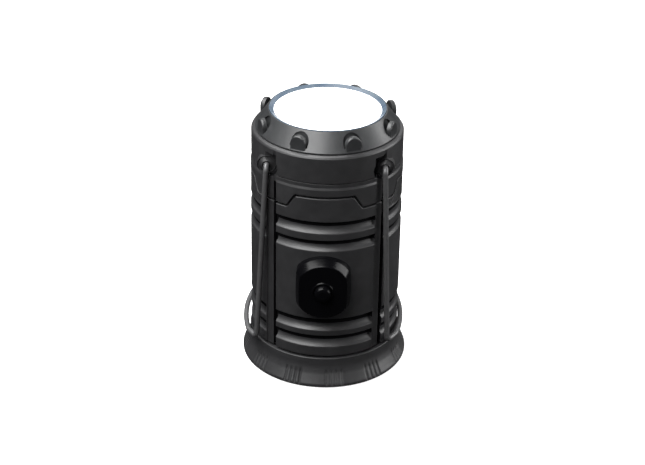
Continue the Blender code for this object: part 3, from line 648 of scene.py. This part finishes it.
def make_lower_shell():
    side_spans = [(centre, 32.0, 0.45) for centre in (0.0, 180.0)]
    angles = np.unique(np.concatenate((barrel_columns(), columns(COLUMN_STEP, side_spans))))
    angles = angles[np.concatenate(([True], np.diff(angles) > math.radians(0.05)))]
    edge, stretch = tab_edge(angles)
    side = on_side_panels(angles)
    panels = on_panels(angles)
    limit = channel_radius(angles)
    radii, heights, row = new_rows(angles)
    for radius, height in ((NECK_BORE_R, SHELL_NECK_LOW), (NECK_BORE_R, SHELL_LOW), (FLOOR_HOLE_R, SHELL_LOW),
                           (FLOOR_HOLE_R, FLOOR_TOP), (BORE_R, FLOOR_TOP), (BORE_R, BORE_TOP)):
        row(radius, height)
    for sine, cosine in quarter(3):
        row(BORE_R + RIM_ROUND * (1.0 - cosine), edge - RIM_ROUND * (1.0 - sine) * stretch)
    for sine, cosine in quarter(4):
        row(np.minimum(BODY_R, limit) - RIM_ROUND * (1.0 - sine), edge - RIM_ROUND * (1.0 - cosine) * stretch)
    first_groove = GROOVES[0][0] + 0.0005
    start = edge - RIM_ROUND * stretch
    knurl_rows = 34
    for k in range(1, knurl_rows + 1):
        height = start + (first_groove - start) * (k / knurl_rows)
        row(np.minimum(BODY_R - knurled_depth(angles, height, start, first_groove), limit), height)
    for top, bottom in GROOVES:
        front_rows = groove_rows(top, bottom, GROOVE_DEPTH, GROOVE_DEPTH)
        side_rows = groove_rows(top, bottom, SIDE_GROOVE_DEPTH, SIDE_GROOVE_ENTRY)
        for (front_depth, front_z), (side_depth, side_z) in zip(front_rows, side_rows):
            depth = np.where(side, side_depth, front_depth) * panels
            row(np.minimum(BODY_R - depth, limit), np.where(side, side_z, front_z))
    for inset, lift in ((0.0, 0.0003), (0.0001, 0.0001), (0.0003, 0.0)):
        row(np.minimum(BODY_R - inset, limit), SHELL_LOW + lift)
    row(NECK_R, SHELL_LOW)
    row(NECK_R, SHELL_NECK_LOW)
    shell = finished("lower_shell_skin", grid_mesh(turned_grid(angles, radii, heights)), HOUSING, 50.0)
    window = block_mesh((-WINDOW_HALF.x, -0.046, SWITCH_Z - WINDOW_HALF.y),
                        (WINDOW_HALF.x, -0.034, SWITCH_Z + WINDOW_HALF.y))
    carve(shell, [window])
    paint_recess_shade(shell)
    smooth(shell, 50.0)
    stand(shell, "lower_body", "housing_black", "lower_shell")


# ---------------------------------------------------------------- head
def pivot_recesses():
    """What the four pivots cut from the head: round pockets, and square ends that carry them upwards."""
    rounds, tops = [], []
    for x in (-PIVOT.x, PIVOT.x):
        for side in (-1.0, 1.0):
            floor, mouth = POCKET_FLOOR * side, OUTSIDE * side
            rounds.append(rod_mesh(POCKET_R, (x, floor, PIVOT.z), (x, mouth, PIVOT.z)))
            near, far = sorted((floor, mouth))
            tops.append(block_mesh((x - POCKET_HALF, near, PIVOT.z), (x + POCKET_HALF, far, POCKET_TOP)))
    return rounds, tops


def pivot_backs():
    """Blocks inside the head's wall, trimmed to stay inside the barrel, that the pockets end in."""
    near, far = Vector((0.0245, 0.0200)), Vector((0.0400, 0.0340))
    bottom, top = PIVOT.z - 0.0078, HEAD_CEILING + 0.0010
    blocks = []
    for x in (-1.0, 1.0):
        for y in (-1.0, 1.0):
            xs, ys = sorted((near.x * x, far.x * x)), sorted((near.y * y, far.y * y))
            blocks.append(block_mesh((xs[0], ys[0], bottom), (xs[1], ys[1], top)))
    holder = finished("pivot_backs", merged(blocks), None)
    carve(holder, [rod_mesh(BODY_R - 0.0012, (0.0, 0.0, 0.10), (0.0, 0.0, 0.16), 128)], "INTERSECT")
    mesh = holder.data
    bpy.data.objects.remove(holder)
    return mesh


def pivot_bosses():
    """The bosses' discs, with a rounded rim and a hole for the bail's pin."""
    outline = [(BOSS_HOLE_R, BOSS_ROOT), (BOSS_R, BOSS_ROOT), (BOSS_R, BOSS_FACE, 0.0007),
               (BOSS_HOLE_R, BOSS_FACE, 0.0003)]
    made = []
    for x in (-PIVOT.x, PIVOT.x):
        for quarter_turn in (math.pi / 2.0, -math.pi / 2.0):
            mesh = turned_mesh(outline, 64)
            mesh.transform(Matrix.Translation((x, 0.0, PIVOT.z)) @ Matrix.Rotation(quarter_turn, 4, "X"))
            made.append(mesh)
    return made


def make_head():
    angles = barrel_columns()
    line, stretch = tab_edge(angles)
    edge = line + TAB_GAP * stretch
    limit = channel_radius(angles)
    radii, heights, row = new_rows(angles)
    collar_bore, collar_r = 0.0305, 0.0330
    groove_r, under_crease_r = BAND_R - 0.0012, BAND_R - 0.0002
    upper = rounded([
        (BORE_R, HEAD_CEILING), (collar_bore, HEAD_CEILING), (collar_bore, NECK_TOP), (collar_r, NECK_TOP),
        (collar_r, DECK), (0.0397, DECK, 0.0003), (0.0411, 0.1403, 0.0006), (BAND_R, SHOULDER, 0.0004),
        (BAND_R, BAND_CREASE, 0.00015), (groove_r, BAND_CREASE), (groove_r, BAND_CREASE - 0.0003),
        (under_crease_r, BAND_CREASE - 0.0006, 0.0002), (under_crease_r, LEDGE + 0.0007, 0.0004),
        (BODY_R, LEDGE - 0.0006, 0.0004), (BODY_R, HEAD_MIDDLE)])
    for radius, height in upper:
        row(radius if height > POCKET_TOP else np.minimum(radius, limit), height)
    low_start = edge + RIM_ROUND * stretch
    for share in (0.3, 0.6, 1.0):
        row(np.minimum(BODY_R, limit), HEAD_MIDDLE + (low_start - HEAD_MIDDLE) * share)
    for sine, cosine in quarter(4)[1:]:
        row(np.minimum(BODY_R, limit) - RIM_ROUND * (1.0 - cosine), edge + RIM_ROUND * (1.0 - sine) * stretch)
    tongue = edge - (TAB_GAP - 0.0002) * stretch
    row(GAP_R, edge)
    row(GAP_R, tongue)
    for sine, cosine in quarter(3):
        row(BORE_R + RIM_ROUND * (1.0 - sine), tongue + RIM_ROUND * (1.0 - cosine) * stretch)
    head = finished("head_housing", grid_mesh(turned_grid(angles, radii, heights)), HOUSING, 50.0)
    carve(head, [pivot_backs()], "UNION")
    for tools in pivot_recesses():
        carve(head, tools)
    carve(head, pivot_bosses(), "UNION")
    paint_recess_shade(head)
    smooth(head, 50.0)
    stand(head, "head", "housing_black", "upper_housing")


# ---------------------------------------------------------------- torch
def arch(half, foot, steps=24):
    """An upright arch about a lug's middle, in the (y, z) plane."""
    outline = [(-half, foot)]
    for k in range(steps + 1):
        turn = math.pi * k / steps
        outline.append((-half * math.cos(turn), LUG_Z + half * math.sin(turn)))
    return outline + [(half, foot)]


def cone_radius(height):
    return BEZEL_R - (height - 0.0001 - BEZEL_LOW) * CONE_RUN


def lug_mesh(angle):
    """An arch-shaped pad: flat face, upright sides, and edges that roll over into the face."""
    roll_depth, roll_inset = 0.0012, 0.0009
    sections = [(LUG_FACE - 0.0026, 0.0)]
    for sine, cosine in quarter(6):
        sections.append((LUG_FACE - roll_depth * (1.0 - sine), roll_inset * (1.0 - cosine)))
    rings = []
    for radius, inset in sections:
        narrow = 1.0 - 0.5 * inset / LUG_HALF
        lower = 1.0 - inset / LUG_HALF
        rings.append([(radius, y * narrow, LUG_Z + (z - LUG_Z) * (lower if z > LUG_Z else 1.0))
                      for y, z in arch(LUG_HALF, LUG_FOOT)])
    return spin_mesh(loft_mesh(rings), angle)


def lug_recess(angle):
    """The arch-shaped recess in the cone that a lug stands in. Its floor runs upright behind the pad."""
    outline = arch(LUG_HALF + 0.0006, LUG_FOOT + 0.0015)
    floor = [(max(0.0325, min(0.0340, cone_radius(z) - 0.0009)), y, z) for y, z in outline]
    mouth = [(0.0450, y, z) for y, z in outline]
    return spin_mesh(loft_mesh([floor, mouth]), angle)


def make_bezel():
    bore, lip, lip_bottom, lip_top = 0.0334, 0.0299, 0.1473, 0.1486
    profile = [(bore, BEZEL_LOW), (bore, lip_bottom), (lip, lip_bottom), (lip, lip_top), (LENS_R, lip_top),
               (LENS_R, BEZEL_TOP, 0.00015), (0.0325, BEZEL_TOP, 0.0003),
               (BEZEL_R, BEZEL_LOW + 0.0006, 0.0004), (BEZEL_R, BEZEL_LOW, 0.0002)]
    bezel = turned("torch_bezel_ring", profile, BEZEL, 240)
    turns = [math.radians(22.5) + 2.0 * math.pi * k / LUG_COUNT for k in range(LUG_COUNT)]
    carve(bezel, [lug_recess(turn) for turn in turns])
    carve(bezel, [lug_mesh(turn) for turn in turns], "UNION")
    smooth(bezel)
    stand(bezel, "head", "bezel_black", "torch_bezel")


def make_lens():
    pane_z = LENS_TOP - 0.0013
    pane_low = pane_z - 0.0010
    rim_r, pane_r = LENS_R - 0.0002, LENS_WINDOW_R + 0.0001
    rim = [(LENS_WINDOW_R, pane_low), (LENS_WINDOW_R, pane_z, 0.0001), (LENS_R - 0.0006, LENS_TOP, 0.0003),
           (rim_r, LENS_TOP, 0.0002), (rim_r, 0.1496)]
    ring = turned("torch_lens_rim", rim, LENS_EDGE, 240)
    window = [(0.0, pane_low), (0.0, pane_z + 0.0001), (0.02, pane_z + 0.00008), (pane_r, pane_z - 0.0001),
              (pane_r, pane_low)]
    pane = turned("torch_lens_window", window, WINDOW)
    stand(ring, "head", "lens_clear", "torch_lens")
    stand(pane, "head", "lens_clear", "torch_lens")


# ---------------------------------------------------------------- battery cap
def rib_depth(angles):
    """Groups of four upright grooves round the flare: 1 at the bottom of a groove, 0 elsewhere."""
    pitch = 2.0 * math.pi / RIB_GROUPS
    fold = np.mod(angles - RIB_OFFSET + pitch / 2.0, pitch) - pitch / 2.0
    cuts = np.radians((-5.4, -1.8, 1.8, 5.4))
    width = math.radians(0.75)
    nearest = np.min(np.abs(fold[:, None] - cuts[None, :]), axis=1)
    return np.exp(-(nearest / width) ** 2)


def make_battery_cap():
    group_step = 360.0 / RIB_GROUPS
    fine = [(math.degrees(RIB_OFFSET) + group_step * k, 8.0, 0.4) for k in range(RIB_GROUPS)]
    angles = columns(2.0, fine)
    pad_ceiling, pad_wall = PAD_TOP + 0.0003, PAD_R + 0.0003
    floor_top, cup_r, foot_z = 0.0038, 0.0401, 0.0004
    outline = rounded([(0.0, floor_top), (cup_r, floor_top), (cup_r, SKIRT_TOP, 0.0003),
                       (0.04265, SKIRT_TOP, 0.0004), (0.0429, 0.0115, 0.02), (0.0440, 0.0080, 0.01),
                       (0.0460, 0.0042, 0.01), (SKIRT_R, 0.0024, 0.002), (SKIRT_R, 0.0010, 0.0008),
                       (0.0464, foot_z, 0.0003), (pad_wall, foot_z, 0.0002), (pad_wall, pad_ceiling),
                       (0.0, pad_ceiling)], 6)
    dense = []
    for (r0, z0), (r1, z1) in zip(outline, outline[1:] + outline[:1]):
        on_flare = min(r0, r1) > FLARE_R
        parts = max(1, int(math.hypot(r1 - r0, z1 - z0) / 0.0006)) if on_flare else 1
        dense += [(r0 + (r1 - r0) * k / parts, z0 + (z1 - z0) * k / parts) for k in range(parts)]
    cut = rib_depth(angles)
    radii, heights, row = new_rows(angles)
    for radius, height in dense:
        fade = np.clip((height - 0.0012) / 0.0012, 0.0, 1.0) * np.clip((0.0104 - height) / 0.0022, 0.0, 1.0)
        row(radius - RIB_DEPTH * fade * cut if radius > FLARE_R else radius, height)
    cap = finished("battery_cap", grid_mesh(turned_grid(angles, radii, heights)), HOUSING, 50.0)
    stand(cap, "base_cap", "housing_black", "base_skirt")


def make_foot():
    """A rubber pad with a ring of tread on its underside, which stands in two rings."""
    tread, recess = 0.0006, 0.0004
    profile = [(0.0, recess), (0.0, PAD_TOP), (PAD_R - 0.0001, PAD_TOP, 0.0002), (PAD_R, 0.0, 0.0003),
               (0.0405, 0.0, 0.0002), (0.0400, tread, 0.0002), (0.0385, tread, 0.0002), (0.0380, 0.0, 0.0002),
               (0.0300, 0.0, 0.0002), (0.0294, tread, 0.0002), (0.0270, tread, 0.0002),
               (0.0264, recess, 0.0002)]
    foot = turned("foot_pad_rubber", profile, RUBBER)
    stand(foot, "base_cap", "foot_rubber", "foot_pad")


# ---------------------------------------------------------------- switch
def switch_outline(steps=96):
    """A circle about the switch's centre, in the XZ plane, with its sides flattened and soft corners."""
    half, softness = 0.0151, 0.0016
    lift = (math.hypot(half, softness) - half) / 2.0
    points = []
    for k in range(steps):
        angle = 2.0 * math.pi * k / steps
        x, z = SWITCH_R * math.cos(angle), SWITCH_R * math.sin(angle)
        narrow = (abs(x) + half - math.hypot(abs(x) - half, softness)) / 2.0 + lift
        points.append((math.copysign(narrow, x), z))
    return points


def face_front(mesh, y=0.0):
    """Tips a mesh over so that its +Z side faces the front, on the switch's axis."""
    mesh.transform(Matrix.Translation((0.0, y, SWITCH_Z)) @ Matrix.Rotation(math.pi / 2.0, 4, "X"))
    return mesh


def make_switch():
    """The boss: a chamfered front, a back that sits on the barrel, a hollow inside and a short collar."""
    face = SWITCH_FACE
    sections = [(SWITCH_BACK, 0.0), (face + 0.0058, 0.0), (face + 0.0053, 0.0001), (face + 0.0047, 0.0003),
                (face + 0.0005, 0.0021), (face + 0.0001, 0.0024), (face, 0.0027)]
    outline = switch_outline()
    rings = []
    for y, inset in sections:
        scale = 1.0 - inset / SWITCH_R
        rings.append([(x * scale, y, SWITCH_Z + z * scale) for x, z in outline])
    switch = finished("switch_boss", loft_mesh(rings), SWITCH)
    seat = rod_mesh(BODY_R + 0.0003, (0.0, 0.0, 0.030), (0.0, 0.0, 0.098), 256)
    hollow = WINDOW_HALF - Vector((0.0007, 0.0007))
    pocket = block_mesh((-hollow.x, face + 0.0022, SWITCH_Z - hollow.y),
                        (hollow.x, -0.030, SWITCH_Z + hollow.y))
    bore = rod_mesh(BUTTON_BORE_R, (0.0, -0.0600, SWITCH_Z), (0.0, -0.0450, SWITCH_Z), 72)
    for tool in (seat, pocket, bore):
        carve(switch, [tool])
    height = 0.0007
    collar = turned_mesh([(BUTTON_BORE_R, 0.0), (0.0062, 0.0), (0.0058, height, 0.0003),
                          (BUTTON_BORE_R, height, 0.0003)], 72)
    carve(switch, [face_front(collar, face + 0.0001)], "UNION")
    smooth(switch)
    stand(switch, "lower_body", "switch_black", "switch_housing")


def make_button():
    """A cap with a rounded face, a flange behind the boss's front and a stub that meets the tact switch."""
    face = -BUTTON_FACE
    stub_end, flange_back, flange_front = 0.0458, 0.0467, 0.0477
    profile = [(0.0, stub_end), (0.0, face - 0.0002), (0.0022, face - 0.0001, 0.0010),
               (0.0040, face - 0.0006, 0.0014), (BUTTON_R, face - 0.0022, 0.0006), (BUTTON_R, flange_front),
               (0.0062, flange_front), (0.0062, flange_back), (0.0020, flange_back), (0.0020, stub_end)]
    button = finished("push_button_cap", face_front(turned_mesh(profile, 72, 5)), SWITCH)
    stand(button, "power_button", "switch_black", "push_button")


# ---------------------------------------------------------------- bails
def fillet_path(points, radius, steps):
    """A 3D line with each inner corner swapped for an arc."""
    result = [points[0]]
    for before, corner, after in zip(points, points[1:], points[2:]):
        into = (before - corner).normalized()
        out = (after - corner).normalized()
        half = into.angle(out) / 2.0
        centre = corner + (into + out).normalized() * radius / math.sin(half)
        reach = radius / math.tan(half)
        first, last = corner + into * reach - centre, corner + out * reach - centre
        axis, sweep = first.cross(last), first.angle(last)
        for i in range(steps + 1):
            result.append(centre + Matrix.Rotation(sweep * i / steps, 3, axis) @ first)
    result.append(points[-1])
    return result


def bail_path():
    """The whole wire, from pin to pin, hanging straight down from its pivot at the origin."""
    grip_start = GRIP_BULGE - (GRIP_R - math.sqrt(GRIP_R ** 2 - GRIP_HALF ** 2))
    corners = [Vector((0.0, -PIN_START, 0.0)), Vector((0.0, -LEG_Y, 0.0)), Vector((0.0, -LEG_Y, -LEG_DROP)),
               Vector((grip_start, -GRIP_HALF, -LEG_DROP))]
    half = fillet_path(corners, BEND_R, 10)[:-1]
    segments = 14
    for i in range(segments + 1):
        y = -GRIP_HALF * (1.0 - i / segments)
        half.append(Vector((GRIP_BULGE - GRIP_R + math.sqrt(GRIP_R ** 2 - y ** 2), y, -LEG_DROP)))
    return half + [Vector((p.x, -p.y, p.z)) for p in reversed(half[:-1])]


def tube_mesh(path, radius, steps=20):
    """A round tube along a line, with domed ends. Its sections don't twist."""
    tangents = []
    for i in range(len(path)):
        ahead = path[min(i + 1, len(path) - 1)]
        behind = path[max(i - 1, 0)]
        tangents.append((ahead - behind).normalized())
    side = tangents[0].orthogonal().normalized()
    sections = []
    for i, (point, tangent) in enumerate(zip(path, tangents)):
        if i:
            side = tangents[i - 1].rotation_difference(tangent) @ side
        side = (side - side.dot(tangent) * tangent).normalized()
        sections.append((point, side, tangent.cross(side), radius))
    first, last = sections[0], sections[-1]
    dome = 0.0004
    sections.insert(0, (first[0] - tangents[0] * dome, first[1], first[2], radius - dome))
    sections.append((last[0] + tangents[-1] * dome, last[1], last[2], radius - dome))
    turns = [2.0 * math.pi * k / steps for k in range(steps)]
    return loft_mesh([[point + (across * math.cos(turn) + up * math.sin(turn)) * size for turn in turns]
                      for point, across, up, size in sections])


def make_bail(node, side):
    swing = Matrix.Rotation(-LEANS[node], 3, "Y")
    path = []
    for point in bail_path():
        leaned = swing @ point
        path.append(PIVOTS[node] + Vector((side * leaned.x, leaned.y, leaned.z)))
    bail = finished(node + "_wire", tube_mesh(path, WIRE_R), WIRE, 60.0)
    stand(bail, node, "bail_black", node)


# ---------------------------------------------------------------- inside, seen when the head is pulled up
def make_inside():
    bore, outer, flange, flange_top = 0.0344, 0.0360, 0.0377, 0.0335
    tube = [(bore, DIFFUSER_LOW), (bore, DIFFUSER_HIGH), (outer, DIFFUSER_HIGH), (outer, flange_top, 0.0002),
            (flange, flange_top, 0.0003), (flange, DIFFUSER_LOW, 0.0003)]
    diffuser = turned("diffuser_sleeve", tube, FROST, 200)
    stand(diffuser, "head", "diffuser_frost", "diffuser_tube")
    inner, outer, ring_low = 0.0363, 0.0379, low("guide_ring").z
    ring = [(inner, ring_low), (inner, RING_TOP, 0.0004), (outer, RING_TOP, 0.0004), (outer, ring_low)]
    guide = turned("guide_collar", ring, WHITE, 200)
    stand(guide, "lower_body", "white_plastic", "guide_ring")


# ---------------------------------------------------------------- frame nodes that stay, and their surfaces
NODE_SURFACES = (
    (CARTRIDGE, ("battery_cartridge",)),
    (WRAP, ("battery_cell_1", "battery_cell_2", "battery_cell_3")),
    (BRASS, ("cap_contact", "lower_cell_plate", "upper_cell_plate", "mast_terminal", "contact_rail_left",
             "contact_rail_right", "brush_left", "brush_right")),
    (STEEL, ("cap_spring", "mast_screw_1", "mast_screw_2", "mast_screw_3", "head_screw_1", "head_screw_2",
             "head_screw_3", "tact_switch")),
    (BOARD, ("control_board", "torch_board")),
    (WHITE, ("guide_mast", "led_column", "head_floor")),
    (PHOSPHOR, ("led_strip_1", "led_strip_2", "led_strip_3", "torch_led")),
    (ALUMINIUM, ("torch_heatsink",)),
    (CHROME, ("torch_reflector",)),
    (RUBBER, ("lens_seal",)),
)


def dress_nodes():
    for surface, names in NODE_SURFACES:
        for name in names:
            for slot in frame["nodes"][name].material_slots:
                slot.material = surface


# ---------------------------------------------------------------- studio
def make_floor():
    """A wide pale floor. It is lit evenly, and neither tints the object nor shows in its gloss."""
    built = bmesh.new()
    bmesh.ops.create_grid(built, x_segments=1, y_segments=1, size=6.0)
    mesh = to_mesh(built, "floor")
    floor = bpy.data.objects.new("floor", mesh)
    bpy.context.scene.collection.objects.link(floor)
    floor.location.z = CAD_BOX[0][2] - 0.0002
    pale, shader = new_material("floor_white", (0.80, 0.80, 0.80), 0.9, specular=0.0)
    shader.inputs["Emission Color"].default_value = (1.0, 1.0, 1.0, 1.0)
    shader.inputs["Emission Strength"].default_value = 0.75
    mesh.materials.append(pale)
    floor.visible_glossy = False
    floor.visible_diffuse = False


def make_softbox(name, place, turn, width, depth, radiance):
    """A rectangular light with a given brightness, facing down before it is turned about X, Y and Z."""
    data = bpy.data.lights.new(name, "AREA")
    data.shape = "RECTANGLE"
    data.size = width
    data.size_y = depth
    data.energy = radiance * math.pi * width * depth
    light = bpy.data.objects.new(name, data)
    light.location = place
    light.visible_camera = False
    light.rotation_euler = [math.radians(angle) for angle in turn]
    bpy.context.scene.collection.objects.link(light)


def make_lights():
    make_softbox("softbox_left", (-0.43, -0.28, 0.88), (0.0, 0.0, 0.0), 0.86, 1.36, 9.0)
    make_softbox("softbox_right", (1.00, 0.04, 0.33), (0.0, 76.0, 0.0), 0.42, 0.90, 6.5)
    make_softbox("softbox_high", (0.79, 0.31, 0.74), (-15.0, 46.0, 0.0), 0.52, 0.26, 8.0)
    make_softbox("softbox_back", (0.25, 1.05, 0.70), (-55.0, 0.0, -14.0), 0.80, 0.50, 2.0)
    make_softbox("softbox_front", (-0.75, -0.90, 0.60), (55.0, 0.0, -40.0), 0.55, 0.30, 4.0)


def make_world():
    """White behind the object, and a dim grey room as far as its light goes."""
    world = bpy.data.worlds.new("studio")
    bpy.context.scene.world = world
    world.use_nodes = True
    tree = world.node_tree
    background = tree.nodes["Background"]
    path = tree.nodes.new("ShaderNodeLightPath")
    mix = tree.nodes.new("ShaderNodeMix")
    mix.data_type = "RGBA"
    mix.inputs["A"].default_value = (0.02, 0.02, 0.0215, 1.0)
    mix.inputs["B"].default_value = (1.0, 1.0, 1.0, 1.0)
    tree.links.new(path.outputs["Is Camera Ray"], mix.inputs["Factor"])
    tree.links.new(mix.outputs["Result"], background.inputs["Color"])


def make_camera():
    """The view: a long lens, looking down at the front, tipped a degree so that the lantern leans right."""
    distance, elevation, azimuth, roll = 0.922, math.radians(28.2), math.radians(1.2), math.radians(1.0)
    back = Vector((math.sin(azimuth) * math.cos(elevation), -math.cos(azimuth) * math.cos(elevation),
                   math.sin(elevation)))
    frame_width = 645.0
    data = bpy.data.cameras.new("camera")
    data.sensor_width = 36.0
    data.lens = 91.37
    data.shift_x = -3.3 / frame_width
    data.shift_y = -2.6 / frame_width
    data.clip_start = 0.05
    camera = bpy.data.objects.new("camera", data)
    aim = Vector((0.0, 0.0, 0.0756))
    turn = back.to_track_quat("Z", "Y").to_matrix().to_4x4() @ Matrix.Rotation(roll, 4, "Z")
    camera.matrix_world = Matrix.Translation(aim + back * distance) @ turn
    bpy.context.scene.collection.objects.link(camera)
    bpy.context.scene.camera = camera


make_camera()
make_world()
make_lights()
make_floor()
bpy.context.scene.view_settings.view_transform = "Standard"

make_battery_cap()
make_foot()
make_lower_shell()
make_head()
make_bezel()
make_lens()
make_switch()
make_button()
make_bail("handle_left", -1.0)
make_bail("handle_right", 1.0)
make_inside()
dress_nodes()
